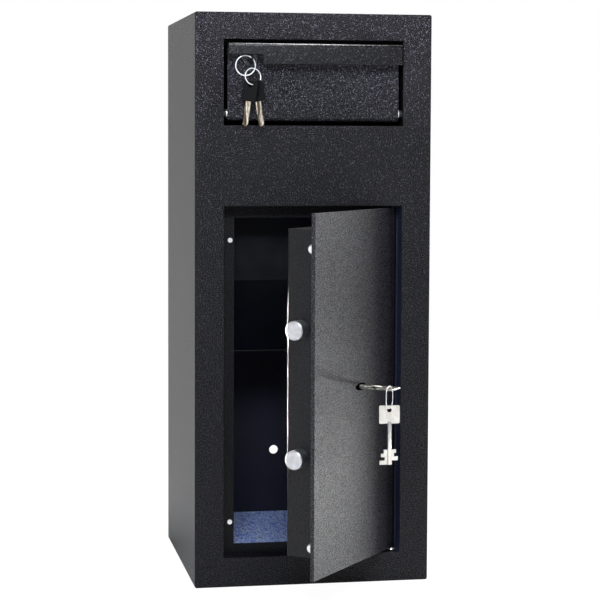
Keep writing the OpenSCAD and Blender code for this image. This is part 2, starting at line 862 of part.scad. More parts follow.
// A double-bit key that hangs from its bow, with the origin in the middle of the bow's hole
module safe_key() {
    bow_top = bow_hole_in;
    bow_low = bow_top - bow_l;
    slab_y(-bow_t/2, bow_t/2) difference() {
        round_rect(-bow_w/2, bow_w/2, bow_low, bow_top, 2);
        circle(d = bow_hole_d);
    }
    rod_z(0, 0, bow_top - key_l, bow_low + 3, shank_d);
    slab_y(-bit_t/2, bit_t/2) translate([0, -bits_l]) {
        bit_side(right_steps);
        mirror([1, 0]) bit_side(left_steps);
    }
}

module door_key() {
    color("#cfc9b8") on_door() translate([key_x, key_hole_y, key_z]) rotate([90, 0, 0]) safe_key();
}

module wire_loop() {
    color("#d8d8d6") on_door() translate([loop_x, key_hole_y, loop_z]) rotate([90, 0, 0]) {
        half_torus(loop_r, loop_wire);
        translate([0, -loop_side, 0]) rotate(180) half_torus(loop_r, loop_wire);
        for (s = [-1, 1]) translate([s*loop_r, -loop_side, 0]) rotate([-90, 0, 0])
            cylinder(d = loop_wire, h = loop_side, $fn = 20);
    }
}

// The spare key hangs from the bottom of the loop and faces the front of the cabinet
module spare_key() {
    color("#d6d0bf") on_door() translate([loop_x, key_hole_y, loop_low_z - spare_drop])
        rotate([0, 0, -door_angle]) safe_key();
}

// HOPPER

module hopper_panel() {
    color("#343437") at_front() difference() {
        run_x(-panel_half, panel_half) {
            rect(panel_in, panel_back, panel_z0 + panel_r, panel_z1);
            intersection() {
                panel_bend() difference() {
                    circle(r = panel_r);
                    circle(r = panel_r - panel_t);
                }
                rect(panel_in - 1, panel_in + panel_r, panel_z0 - 1, panel_z0 + panel_r + eps);
            }
        }
        rod_y(cam_x, cam_z, panel_in - 1, panel_back + 1, barrel_d);
    }
}

// Centre of the bend along the panel's lower edge, where the hopper's floor begins
module panel_bend() {
    translate([panel_in + panel_r, panel_z0 + panel_r]) children();
}

// The panel's top, folded forward and down into a full-width pull
module handle_lip() {
    t = lip_t;
    color("#303033") at_front() difference() {
        run_x(-lip_half, lip_half) {
            difference() {
                union() {
                    rect(-lip_out + lip_r, panel_back, lip_top - t, lip_top);
                    rect(-lip_out, -lip_out + t, lip_top - lip_h, lip_top - lip_r);
                    translate([-lip_out + lip_r, lip_top - lip_r]) intersection() {
                        difference() {
                            circle(r = lip_r);
                            circle(r = lip_r - t);
                        }
                        translate([-lip_r, 0]) square(lip_r + eps);
                    }
                }
            }
        }
        box(-lip_half - 1, -lip_half + notch_w, -lip_out - 1, -lip_out + t + 1,
            lip_top - lip_h - 1, lip_top - lip_h + notch_h);
    }
}

// Half plane above the hopper floor's lower face, in the cheek's own plane
module above_floor(extra) {
    translate([pivot_in, pivot_z]) rotate(-floor_slope) translate([-body_d, -floor_drop - extra])
        square(2*body_d);
}

module cheek(s) {
    color("#2b2b2e") at_front() scale([s, 1, 1]) run_x(cheek_x - cheek_t, cheek_x) difference() {
        intersection() {
            translate([pivot_in, pivot_z]) circle(r = cheek_r, $fn = 120);
            rect(panel_back, body_d, panel_z0, panel_z1);
            above_floor(cheek_t);
        }
        rect(panel_back - 1, panel_in + panel_r, panel_z0 - 1, panel_z0 + panel_r);
        translate([pivot_in, pivot_z]) circle(d = pivot_d + 2*pivot_gap);
    }
}

module cheek_left() {
    cheek(-1);
}

module cheek_right() {
    cheek(1);
}

module hopper_floor() {
    color("#2b2b2e") at_front() run_x(-cheek_x + cheek_t, cheek_x - cheek_t) difference() {
        intersection() {
            translate([pivot_in, pivot_z]) circle(r = cheek_r, $fn = 120);
            rect(panel_in + panel_r, body_d, 0, panel_z1);
            above_floor(cheek_t);
        }
        above_floor(0);
    }
}

// HOPPER LOCK

module lock_barrel() {
    color("#d5d6d8") at_front() difference() {
        union() {
            rod_y(cam_x, cam_z, barrel_front, panel_in, collar_d);
            rod_y(cam_x, cam_z, panel_in - eps, barrel_back, barrel_d);
        }
        rod_y(cam_x, cam_z, barrel_front - 1, barrel_back + 1, plug_d + 2*plug_gap);
    }
}

module barrel_nut() {
    color("#b9babc") at_front() difference() {
        translate([cam_x, panel_back, cam_z]) rotate([-90, 0, 0])
            cylinder(d = barrel_nut_d, h = barrel_nut_t, $fn = 6);
        rod_y(cam_x, cam_z, panel_back - 1, panel_back + barrel_nut_t + 1, barrel_d);
    }
}

module lock_plug() {
    slack = 0.2;
    color("#c4c5c8") at_front() difference() {
        rod_y(cam_x, cam_z, plug_front, latch_front, plug_d);
        box(cam_x - blade_t/2 - slack, cam_x + blade_t/2 + slack, plug_front - 1, head_front + blade_in + 1,
            cam_z - blade_w/2 - slack, cam_z + blade_w/2 + slack);
    }
}

// The latch points left when unlocked and up, behind the strike, when locked
module latch_cam() {
    color("#b9babc") at_front() slab_y(latch_front, latch_back) translate([cam_x, cam_z]) {
        circle(d = latch_w);
        translate([-latch_l + 2, -latch_w/2]) square([latch_l - 2, latch_w]);
        translate([-latch_l, -latch_w/2 + 2]) square([latch_l, latch_w - 4]);
        for (z = [-1, 1]) translate([-latch_l + 2, z*(latch_w/2 - 2)]) circle(r = 2);
    }
}

module cam_screw() {
    color("#c9c9c4") at_front() difference() {
        rod_y(cam_x, cam_z, latch_back, latch_back + 3, 8);
        translate([cam_x, latch_back + 3, cam_z]) cube([9, 1.6, 1.2], center = true);
    }
}

// Plastic head of a small key: drawn in X and Z with its hole at the origin and the blade below
module small_head(length, width, hole_in) {
    slab_y(-head_t/2, head_t/2) difference() {
        round_rect(-width/2, width/2, hole_in - length, hole_in, 5);
        circle(d = head_hole_d);
    }
}

// Blade of a small key, with its bitting, below a head of the given length
module small_blade(length, hole_in, blade) {
    top = hole_in - length;
    half = blade_w/2;
    slab_y(-blade_t/2, blade_t/2) difference() {
        polygon([[-half, top], [half, top], [half, top - blade + 3], [0.3*half, top - blade],
                 [-0.3*half, top - blade], [-half, top - blade + 3]]);
        for (i = [0:3]) translate([-half, top - blade + 4.5 + 3.2*i]) rotate(45)
            square(1.2 + 0.4*(i % 2), center = true);
    }
}

// Lengthwise grooves in the two faces of a small key's blade
module blade_grooves(length, hole_in, blade) {
    top = hole_in - length;
    for (s = [-1, 1]) {
        face = s*blade_t/2;
        box(-s*groove_w/2 - groove_w/2, -s*groove_w/2 + groove_w/2, face - groove_d, face + groove_d,
            top - blade - 1, top - 1);
    }
}

module hopper_key_place() {
    at_front() translate([cam_x, head_hole_y, cam_z]) rotate([90, 90, 0]) children();
}

module hopper_key_head() {
    color("#161617") hopper_key_place() small_head(head_l, head_w, head_hole_in);
}

module hopper_key_blade() {
    color("#cfc9b8") hopper_key_place() difference() {
        small_blade(head_l, head_hole_in, blade_in);
        blade_grooves(head_l, head_hole_in, blade_in);
    }
}

// RINGS AND HANGING KEYS

module large_ring() {
    color("#e2e2df") at_front() translate([ring_x, head_hole_y, ring_z]) rotate([90, 0, 0])
        torus(ring_r, ring_wire);
}

// The small ring leans about the line through the two rings' middles, so that they link
module small_ring() {
    color("#e2e2df") at_front() translate(small_centre) rotate(small_tilt, link_line) rotate([90, 0, 0])
        torus(small_ring_r, small_ring_wire);
}

function leaned(p) = p*cos(small_tilt) + cross(link_line, p)*sin(small_tilt)
    + link_line*(link_line*p)*(1 - cos(small_tilt));

// A key hangs where the ring's wire stands at the given angle from its lowest point
module ring_key_place(at, lean) {
    wire = small_centre + leaned(small_ring_r*[sin(at), 0, -cos(at)]);
    at_front() translate(wire - [0, 0, tag_drop]) rotate([0, 0, tag_turn]) rotate([0, lean, 0]) children();
}

module ring_key_a_head() {
    color("#161617") ring_key_place(tag_a_at, tag_a_lean) small_head(tag_head_l, tag_head_w, head_hole_in);
}

module ring_key_a_blade() {
    color("#cfc9b8") ring_key_place(tag_a_at, tag_a_lean) difference() {
        small_blade(tag_head_l, head_hole_in, blade_l);
        blade_grooves(tag_head_l, head_hole_in, blade_l);
    }
}

module ring_key_b_head() {
    color("#161617") ring_key_place(tag_b_at, tag_b_lean) small_head(tag_head_l, tag_head_w, head_hole_in);
}

module ring_key_b_blade() {
    color("#cfc9b8") ring_key_place(tag_b_at, tag_b_lean) difference() {
        small_blade(tag_head_l, head_hole_in, blade_l);
        blade_grooves(tag_head_l, head_hole_in, blade_l);
    }
}

body_wrap();
back_panel();
front_panel();
hopper_frame();
door_frame();
frame_screws();
inner_floor();
floor_mat();
drop_chute();
throat_guard();
hinge_pins();
hinge_washer();
pivot_pins();
pivot_washers();
pivot_spacers();
pivot_nuts();
door_plate();
hinge_rod();
door_cover();
cover_brackets();
cover_screws();
lock_case();
lock_cover();
lock_screws();
bolt_guides();
upper_bolt();
lower_bolt();
bolt_bar();
bolt_screws();
drive_arm();
door_key();
wire_loop();
spare_key();
hopper_panel();
handle_lip();
cheek_left();
cheek_right();
hopper_floor();
lock_barrel();
barrel_nut();
lock_plug();
latch_cam();
cam_screw();
hopper_key_blade();
hopper_key_head();
large_ring();
small_ring();
ring_key_a_blade();
ring_key_a_head();
ring_key_b_blade();
ring_key_b_head();
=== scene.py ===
import math

import bpy
from mathutils import Matrix, Vector

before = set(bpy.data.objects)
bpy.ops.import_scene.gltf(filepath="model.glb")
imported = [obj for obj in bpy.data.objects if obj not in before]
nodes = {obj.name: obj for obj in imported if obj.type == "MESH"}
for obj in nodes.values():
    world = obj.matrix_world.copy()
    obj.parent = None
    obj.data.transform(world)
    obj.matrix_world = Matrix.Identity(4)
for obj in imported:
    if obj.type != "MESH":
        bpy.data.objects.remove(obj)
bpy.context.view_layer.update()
scene = bpy.context.scene
scene.view_settings.view_transform = "Standard"


# Camera: the photograph's place, lens and shift

PHOTO_PIXELS = 600
FOCAL_PIXELS = 1873.4
AXIS_ROW = 260.68
SENSOR_MM = 36.0

camera_place = Vector((-0.512658, -2.864549, 0.662174))
camera_right = Vector((0.983691, -0.179819, 0.00406))
camera_up = Vector((0.007974, 0.066149, 0.997778))
camera_ahead = Vector((0.179688, 0.981473, -0.066504))

cam_data = bpy.data.cameras.new("camera")
cam_data.sensor_width = SENSOR_MM
cam_data.lens = FOCAL_PIXELS / PHOTO_PIXELS * SENSOR_MM
cam_data.shift_y = (AXIS_ROW - PHOTO_PIXELS / 2) / PHOTO_PIXELS
cam_data.clip_start = 0.05
cam_data.clip_end = 100
cam = bpy.data.objects.new("camera", cam_data)
scene.collection.objects.link(cam)
columns = (camera_right, camera_up, -camera_ahead, camera_place)
cam.matrix_world = Matrix([[c[i] for c in columns] for i in range(3)] + [[0, 0, 0, 1]])
scene.camera = cam


# Sizes that the materials need, in metres as the texture coordinates

CABINET_HALF = 0.175
CABINET_HEIGHT = 0.84
# Faces within the first depth are outer faces, and those beyond the second are inner faces
OUTER_SKIN, INNER_SKIN = 0.0005, 0.0015

DOOR_ANGLE = math.radians(51.5)
# Hinge axis of the door, in millimetres from the middle and from the front face
HINGE_X_MM, HINGE_Y_MM = 124.5, 23.0

along_door = (math.cos(DOOR_ANGLE), math.sin(DOOR_ANGLE), 0)
out_of_door = (math.sin(DOOR_ANGLE), -math.cos(DOOR_ANGLE), 0)


def on_door(x, y, z):
    """Where a point of the shut door comes to, in metres, with the door open.

    The point is given in millimetres from the middle, the front face and the foot.
    """
    dx, dy = x - HINGE_X_MM, y - HINGE_Y_MM
    sin, cos = math.sin(DOOR_ANGLE), math.cos(DOOR_ANGLE)
    return (
        (HINGE_X_MM + dx * cos - dy * sin) / 1000,
        (HINGE_Y_MM + dx * sin + dy * cos) / 1000 - CABINET_HALF,
        z / 1000,
    )


keyhole_place = on_door(13, 20, 302)
# Half width and half height of the keyhole's dark mouth, its painted shade, and the painted shade
# of the key in it
MOUTH_HALF_WIDTH, MOUTH_HALF_HEIGHT = 0.0165, 0.0056
MOUTH_PAINTED_SHADE, SUNK_PAINTED_SHADE = (0.0004, 0.0004, 0.0004), (0.004, 0.004, 0.004)
# Middles of the two bolts' faces
bolt_faces = {"upper_bolt": on_door(-125.5, 56, 393), "lower_bolt": on_door(-125.5, 56, 212)}


# Materials

class Nodes:
    """Short calls for building the nodes of one material, or of the world."""

    def __init__(self, owner, output="ShaderNodeOutputMaterial"):
        owner.use_nodes = True
        self.owner = owner
        self.tree = owner.node_tree
        self.tree.nodes.clear()
        self.out = self.new(output)
        self.texture = self.new("ShaderNodeTexCoord")
        # In metres, along the cabinet's own axes
        self.coords = self.texture.outputs["Object"]

    def new(self, kind, **props):
        n = self.tree.nodes.new(kind)
        for k, v in props.items():
            setattr(n, k, v)
        return n

    def link(self, a, b):
        self.tree.links.new(a, b)

    def feed(self, socket, value):
        if isinstance(value, bpy.types.NodeSocket):
            self.link(value, socket)
        else:
            socket.default_value = value

    def feed_color(self, socket, value):
        self.feed(socket, value if isinstance(value, bpy.types.NodeSocket) else (*value, 1.0))

    def axes(self, vector):
        """The X, Y and Z of a vector."""
        n = self.new("ShaderNodeSeparateXYZ")
        self.link(vector, n.inputs[0])
        return n.outputs

    def vector(self, op, a, b=None):
        n = self.new("ShaderNodeVectorMath", operation=op)
        self.link(a, n.inputs[0])
        if b is not None:
            n.inputs[1].default_value = b
        return n.outputs

    def stretch(self, *scale):
        n = self.new("ShaderNodeMapping")
        n.inputs["Scale"].default_value = scale
        self.link(self.coords, n.inputs["Vector"])
        return n.outputs["Vector"]

    def noise(self, scale, detail=2.0, rough=0.5, vector=None, distortion=0.0):
        n = self.new("ShaderNodeTexNoise")
        self.link(vector or self.coords, n.inputs["Vector"])
        n.inputs["Scale"].default_value = scale
        n.inputs["Detail"].default_value = detail
        n.inputs["Roughness"].default_value = rough
        n.inputs["Distortion"].default_value = distortion
        return n.outputs["Fac"]

    def cells(self, scale):
        """Distance to the middle of a grain, and a random number for each grain."""
        n = self.new("ShaderNodeTexVoronoi", feature="F1")
        self.link(self.coords, n.inputs["Vector"])
        n.inputs["Scale"].default_value = scale
        split = self.new("ShaderNodeSeparateColor")
        self.link(n.outputs["Color"], split.inputs["Color"])
        return n.outputs["Distance"], split.outputs["Red"]

    def ramp(self, value, lo, hi, to_lo=0.0, to_hi=1.0):
        n = self.new("ShaderNodeMapRange", interpolation_type="SMOOTHSTEP")
        self.feed(n.inputs["Value"], value)
        n.inputs["From Min"].default_value = lo
        n.inputs["From Max"].default_value = hi
        n.inputs["To Min"].default_value = to_lo
        n.inputs["To Max"].default_value = to_hi
        return n.outputs["Result"]

    def math(self, op, a, b=0.0):
        n = self.new("ShaderNodeMath", operation=op)
        self.feed(n.inputs[0], a)
        self.feed(n.inputs[1], b)
        return n.outputs[0]

    def times(self, a, b):
        return self.math("MULTIPLY", a, b)

    def most(self, a, b):
        return self.math("MAXIMUM", a, b)

    def less(self, value, mask, share=1.0):
        """The value, less a share of it where the mask is 1."""
        if share != 1.0:
            mask = self.times(mask, share)
        return self.times(value, self.math("SUBTRACT", 1.0, mask))

    def mix(self, fac, a, b):
        n = self.new("ShaderNodeMix", data_type="RGBA")
        self.feed(n.inputs["Factor"], fac)
        self.feed_color(n.inputs[6], a)
        self.feed_color(n.inputs[7], b)
        return n.outputs[2]

    def blend(self, fac, a, b):
        n = self.new("ShaderNodeMix", data_type="FLOAT")
        for socket, v in zip(n.inputs[:1] + n.inputs[2:4], (fac, a, b)):
            self.feed(socket, v)
        return n.outputs[0]

    def bump(self, height, strength, distance, normal=None):
        n = self.new("ShaderNodeBump")
        n.inputs["Strength"].default_value = strength
        n.inputs["Distance"].default_value = distance
        self.link(height, n.inputs["Height"])
        if normal is not None:
            self.link(normal, n.inputs["Normal"])
        return n.outputs["Normal"]

    def background(self, grey, strength):
        n = self.new("ShaderNodeBackground")
        n.inputs["Color"].default_value = (grey, grey, grey, 1)
        self.feed(n.inputs["Strength"], strength)
        return n.outputs["Background"]

    def mix_surface(self, fac, a, b):
        """Ends the tree with a mix of two shaders."""
        n = self.new("ShaderNodeMixShader")
        self.link(fac, n.inputs["Fac"])
        self.link(a, n.inputs[1])
        self.link(b, n.inputs[2])
        self.link(n.outputs["Shader"], self.out.inputs["Surface"])

    def finish(self, color, rough, metallic, normal, specular=0.5, sheen=0.0):
        """Ends the tree with the surface's shader and returns the material."""
        b = self.new("ShaderNodeBsdfPrincipled")
        self.feed_color(b.inputs["Base Color"], color)
        self.feed(b.inputs["Roughness"], rough)
        self.feed(b.inputs["Specular IOR Level"], specular)
        b.inputs["Metallic"].default_value = metallic
        b.inputs["Sheen Weight"].default_value = sheen
        self.link(normal, b.inputs["Normal"])
        self.link(b.outputs["BSDF"], self.out.inputs["Surface"])
        return self.owner


def material(name):
    return Nodes(bpy.data.materials.new(name))


# Powder coat: the skin's hollows and grains as shares of the coat's own colour
HOLLOW, GRAIN = 0.30, 26.0
# Strength of the grains at the foot and at the top of the front, and the heights between;
# the paler grains towards the top are painted light from above, the fainter foot painted shade.
FOOT_GRAIN_AND_SHADE, TOP_GRAIN_AND_LIGHT = 0.75, 3.2
GRAIN_FROM, GRAIN_TO = 0.62, 0.86
# Strength of the grains on the left side and on the other outer faces, and the depths between;
# the weak grain on the left is painted sheen, standing in for the sheen that washes it out.
LEFT_GRAIN, OUTER_GRAIN = 0.25, 0.9
LEFT_FROM, LEFT_TO = 0.0004, 0.0014
# Fine rings of turned metal, one every 0.7 mm, in radians per metre
RING_RATE = 9000


def powder_coat(name, base, rough, grain, mottle, specks, specular, fine=680,
                inner=None, painted_edge=None, keyhole=False):
    """Textured powder coat: a mottled skin whose highest grains stand out as pale specks.

    Grain is the depth of its bumps in metres, and fine the number of its waves in a metre.
    With an inner colour, faces inside the cabinet have thin smooth paint instead. A painted
    edge is two places across the cabinet between which the coat turns to another colour, then
    that colour and the share of its shine that the coat loses: a painted shadow where that
    colour is dark, a painted highlight where it is pale. A keyhole has painted shade: dark
    walls and a narrow dark rim.
    """
    m = material(name)
    x, y, z = m.axes(m.coords)
    out_x = m.math("ABSOLUTE", x)

    # Outer faces other than the front: even grain, and nearly smooth on the left as painted sheen
    beyond = m.math("DIVIDE", m.most(out_x, y), CABINET_HALF - OUTER_SKIN)
    beyond = m.most(beyond, m.math("DIVIDE", z, CABINET_HEIGHT - OUTER_SKIN))
    outer = m.math("GREATER_THAN", beyond, 1.0)
    # Paler, stronger grains towards the top of the front: painted light from above
    front_painted_light = m.ramp(z, GRAIN_FROM, GRAIN_TO, FOOT_GRAIN_AND_SHADE, TOP_GRAIN_AND_LIGHT)
    left = -CABINET_HALF
    on_side = m.ramp(x, left + LEFT_FROM, left + LEFT_TO, LEFT_GRAIN, OUTER_GRAIN)
    grain_and_painted_light = m.blend(outer, front_painted_light, on_side)

    skin = m.ramp(m.noise(fine, 3.0, 0.62), 0.30, 0.72)
    veins = m.times(m.math("POWER", skin, 2.6), 0.13 * mottle)
    distance, luck = m.cells(fine * 0.8)
    spot = m.ramp(distance, 0.55, 0.2)
    chosen = m.ramp(luck, 0.74, 0.98, 0.0, 0.8)
    # Specks that fade towards the foot of the front: painted light, brighter at the top
    specks_painted_light = m.blend(outer, m.ramp(z, 0.25, 0.8, 0.4 * specks, 1.1 * specks), 0.8 * specks)
    speck = m.times(m.times(spot, chosen), specks_painted_light)
    clouds = m.ramp(m.noise(9, 3.0), 0.3, 0.7, 0.0, 0.012 * mottle)
    pale = m.times(m.most(speck, m.math("ADD", veins, clouds)), grain_and_painted_light)
    color = m.mix(pale, [HOLLOW * c for c in base], [GRAIN * c for c in base])

    height = m.math("ADD", m.times(spot, 0.8), m.times(skin, 1.4))
    uneven = min(mottle, 1)
    low_shine, high_shine = specular * (1 - 0.75 * uneven), specular * (1 + 0.9 * uneven)
    shine = m.ramp(skin, 0.15, 0.9, low_shine, high_shine)
    roughness = m.ramp(skin, 0.2, 0.8, rough + 0.1, rough - 0.1)

    # Painted edge: painted shade at the handle lip's right end, a painted bluish highlight on the
    # door frame's right jamb
    if painted_edge:
        start, end, tone, lost = painted_edge
        painted_band = m.ramp(x, start, end)
        color = m.mix(painted_band, color, tone)
        shine = m.less(shine, painted_band, lost)
    # Painted shade: the keyhole's walls and a narrow oval rim round it are painted dark as the
    # hole's shaded mouth
    if keyhole:
        off = m.vector("SUBTRACT", m.coords, keyhole_place)[0]
        along = m.vector("DOT_PRODUCT", off, along_door)["Value"]
        rise = m.axes(off)["Z"]
        squares = [
            m.math("POWER", m.math("ABSOLUTE", m.math("DIVIDE", way, half)), 2.0)
            for way, half in ((along, MOUTH_HALF_WIDTH), (rise, MOUTH_HALF_HEIGHT))
        ]
        mouth = m.ramp(m.math("ADD", *squares), 1.15, 0.85)
        color = m.mix(mouth, color, MOUTH_PAINTED_SHADE)
        shine = m.less(shine, mouth)
    if inner:
        half = CABINET_HALF - INNER_SKIN
        out_y = m.math("ABSOLUTE", y)
        deep = m.most(m.math("DIVIDE", out_x, half), m.math("DIVIDE", out_y, half))
        middle = CABINET_HEIGHT / 2
        high = m.math("ABSOLUTE", m.math("SUBTRACT", z, middle))
        deep = m.most(deep, m.math("DIVIDE", high, middle - INNER_SKIN))
        inward = m.math("LESS_THAN", deep, 1.0)
        color = m.mix(inward, color, inner)
        shine = m.less(shine, inward, 0.5)
        height = m.less(height, inward, 0.85)

    normal = m.bump(m.times(height, grain_and_painted_light), 0.6, grain)
    normal = m.bump(m.noise(1500, 3.0, 0.6), 0.25, 0.4 * grain, normal)
    return m.finish(color, roughness, 0.0, normal, shine)


def smooth_paint(name, dark, light, rough=0.45):
    """Thin inside paint: nearly even, with a little orange peel."""
    m = material(name)
    color = m.mix(m.ramp(m.noise(30, 4.0), 0.3, 0.7), dark, light)
    roughness = m.ramp(m.noise(60, 2.0), 0.3, 0.7, rough - 0.05, rough + 0.08)
    normal = m.bump(m.noise(330, 2.0), 0.25, 0.0003)
    return m.finish(color, roughness, 0.0, normal, 0.15)


def metal(name, color, pale, rough, streak=(1, 1, 1), scratch=0.15, metallic=1.0):
    """Plated or ground metal with fine scratches and a slight change of tone."""
    m = material(name)
    drawn = m.noise(900, 4.0, 0.6, m.stretch(*streak))
    tone = m.mix(m.ramp(m.noise(90, 3.0), 0.3, 0.75), color, pale)
    roughness = m.ramp(drawn, 0.3, 0.7, rough - 0.06, rough + 0.08)
    return m.finish(tone, roughness, metallic, m.bump(drawn, scratch, 0.00012))


def milled(name, groove, color, pale, along=(1, 1, 0.06), width=360, painted_sunk_shade=False):
    """Key metal with milled grooves along the blade, and if asked, painted shade inside the
    keyhole.
    """
    m = material(name)
    lines = m.noise(width, 2.0, 0.5, m.stretch(*along))
    tone = m.mix(m.ramp(m.noise(260, 3.0), 0.3, 0.7), color, pale)
    tone = m.mix(m.ramp(lines, 0.52, 0.44), tone, groove)
    if painted_sunk_shade:
        off = m.vector("SUBTRACT", m.coords, keyhole_place)[0]
        depth = m.vector("DOT_PRODUCT", off, out_of_door)["Value"]
        # The key's part inside the keyhole is painted dark: painted shade in the hole
        tone = m.mix(m.ramp(depth, 0.0015, -0.0015), tone, SUNK_PAINTED_SHADE)
    roughness = m.ramp(m.noise(700, 3.0), 0.3, 0.7, 0.28, 0.44)
    return m.finish(tone, roughness, 1.0, m.bump(lines, 0.3, 0.0003))


def turned(name, color, pale, axis, centre, rough):
    """Metal turned on a lathe: fine rings about the axis through centre."""
    m = material(name)
    off = m.vector("SUBTRACT", m.coords, centre)[0]
    far = m.vector("LENGTH", m.vector("CROSS_PRODUCT", off, axis)[0])["Value"]
    rings = m.math("SINE", m.times(far, RING_RATE))
    tone = m.mix(m.ramp(m.noise(140, 3.0), 0.3, 0.75), color, pale)
    roughness = m.ramp(m.noise(300, 3.0), 0.3, 0.7, rough - 0.05, rough + 0.08)
    normal = m.bump(rings, 0.10, 0.00006)
    normal = m.bump(m.noise(1100, 3.0), 0.08, 0.00005, normal)
    return m.finish(tone, roughness, 1.0, normal)


def felt(name):
    """Flecked felt: pale and dark fibres over blue, drawn out from front to back."""
    m = material(name)
    lie = m.stretch(1, 0.3, 1)
    fleck = m.ramp(m.noise(310, 4.0, 0.75, lie, 1.2), 0.45, 0.55)
    color = m.mix(fleck, (0.15, 0.25, 0.88), (0.72, 0.85, 1.0))
    dark = m.ramp(m.noise(270, 3.0, 0.7, lie, 0.8), 0.56, 0.66)
    color = m.mix(dark, color, (0.06, 0.11, 0.34))
    normal = m.bump(m.noise(1300, 5.0, 0.7, distortion=0.6), 0.7, 0.0008)
    return m.finish(color, 0.95, 0.0, normal, 0.1, 0.1)


def plastic(name, color, pale):
    """Moulded plastic with a fine matt grain."""
    m = material(name)
    tone = m.mix(m.ramp(m.noise(700, 3.0), 0.35, 0.7), color, pale)
    roughness = m.ramp(m.noise(300, 2.0), 0.3, 0.7, 0.42, 0.56)
    return m.finish(tone, roughness, 0.0, m.bump(m.noise(1600, 3.0), 0.3, 0.00015), 0.12)


# name: colour, roughness, grain, mottle, specks, specular, and what else the coat has
coats = {
    "cabinet": powder_coat("cabinet_coat", (0.0056, 0.0052, 0.0068), 0.42, 0.0005, 0.9, 1.1, 0.25,
                           inner=(0.027, 0.026, 0.038)),
    "panel": powder_coat("panel_coat", (0.0086, 0.0082, 0.0102), 0.42, 0.0005, 1.0, 1.2, 0.25, 760),
    # The lip's coat is darker than the hopper panel's as painted shade on its face, and its last
    # millimetre at the right end is a painted shadow of the gap there
    "lip": powder_coat("lip_coat", (0.0034, 0.0033, 0.0041), 0.16, 0.00005, 0.5, 0.4, 0.36,
                       painted_edge=(0.1266, 0.1274, (0.0003, 0.0003, 0.0004), 1)),
    "door": powder_coat("door_coat", (0.0118, 0.0113, 0.0144), 0.42, 0.0005, 0.9, 1.3, 0.4,
                        keyhole=True),
    "cover": powder_coat("cover_coat", (0.0060, 0.0058, 0.0069), 0.45, 0.00012, 0.2, 0.05, 0.3),
    "frame": powder_coat("frame_coat", (0.0038, 0.0036, 0.0045), 0.5, 0.0003, 0.5, 0.2, 0.2),
    # The door frame's right jamb turns bluish: a painted bluish highlight, with its shine kept
    "door_frame": powder_coat("door_frame_coat", (0.0060, 0.0057, 0.0071), 0.5, 0.0003, 0.5, 0.2,
                              0.2, painted_edge=(0.127, 0.134, (0.030, 0.038, 0.075), 0)),
    "jamb": powder_coat("jamb_coat", (0.0050, 0.0050, 0.0060), 0.6, 0.0002, 0.3, 0.1, 0.15),
}
inside = smooth_paint("inside_paint", (0.0028, 0.0028, 0.0044), (0.0046, 0.0046, 0.0068))
zinc = metal("zinc_plate", (0.50, 0.51, 0.50), (0.72, 0.72, 0.70), 0.32)
steel = metal("ground_steel", (0.33, 0.34, 0.35), (0.45, 0.46, 0.47), 0.38, (1, 1, 12))
bright = metal("bright_steel", (0.86, 0.86, 0.85), (0.97, 0.97, 0.96), 0.42)
dull = metal("dark_steel", (0.035, 0.036, 0.038), (0.06, 0.061, 0.064), 0.5)
nickel = metal("key_nickel", (0.72, 0.69, 0.62), (0.90, 0.88, 0.83), 0.33, (1, 1, 8), 0.1)
blade = milled("key_blade_nickel", (0.10, 0.075, 0.05), (0.50, 0.43, 0.32), (0.86, 0.80, 0.68))
shank = milled("door_key_nickel", (0.13, 0.12, 0.09), (0.55, 0.53, 0.46), (0.90, 0.88, 0.82),
               (0.12, 0.12, 1), 620, True)
wire = metal("bright_wire", (0.90, 0.90, 0.90), (0.99, 0.99, 0.99), 0.3, metallic=0.5)
chrome = metal("lock_chrome", (0.16, 0.16, 0.17), (0.26, 0.26, 0.27), 0.22)
bolts = {
    n: turned(n + "_face", (0.50, 0.50, 0.52), (0.62, 0.62, 0.64), along_door, centre, 0.4)
    for n, centre in bolt_faces.items()
}
black = plastic("head_plastic", (0.003, 0.003, 0.0033), (0.007, 0.007, 0.0073))
mat_felt = felt("mat_felt")

looks = {name: mat for mat, names in (
    (coats["cabinet"], "body_wrap back_panel front_panel"),
    (coats["panel"], "hopper_panel"),
    (coats["lip"], "handle_lip"),
    (coats["door"], "door_plate"),
    (coats["cover"], "door_cover cover_brackets"),
    (coats["frame"], "hopper_frame cheek_left cheek_right"),
    (coats["door_frame"], "door_frame"),
    (coats["jamb"], "hinge_rod"),
    (inside, "inner_floor drop_chute throat_guard hopper_floor"),
    (mat_felt, "floor_mat"),
    (zinc, "lock_screws bolt_screws barrel_nut latch_cam cam_screw"),
    (steel, "lock_case lock_cover bolt_guides bolt_bar drive_arm"),
    (bright, "frame_screws hinge_washer pivot_washers cover_screws"),
    (dull, "hinge_pins pivot_pins pivot_spacers pivot_nuts"),
    (nickel, "spare_key"),
    (shank, "door_key"),
    (blade, "hopper_key_blade ring_key_a_blade ring_key_b_blade"),
    (black, "hopper_key_head ring_key_a_head ring_key_b_head"),
    (wire, "wire_loop large_ring small_ring"),
    (chrome, "lock_barrel lock_plug"),
    (bolts["upper_bolt"], "upper_bolt"),
    (bolts["lower_bolt"], "lower_bolt"),
) for name in names.split()}
for name, o in nodes.items():
    o.data.materials.clear()
    o.data.materials.append(looks[name])


# Rounded edges of sheets, plates and keys

def soften(name, width):
    """Rounds a CAD node's edges, after joining its flat faces."""
    o = nodes[name]
    weld = o.modifiers.new("weld", "WELD")
    weld.merge_threshold = 1e-6
    flat = o.modifiers.new("flat", "DECIMATE")
    flat.decimate_type = "DISSOLVE"
    flat.angle_limit = math.radians(0.6)
    bevel = o.modifiers.new("bevel", "BEVEL")
    bevel.width = width
    bevel.segments = 2
    bevel.limit_method = "ANGLE"
    bevel.angle_limit = math.radians(40)
    bevel.use_clamp_overlap = True
    bevel.harden_normals = True


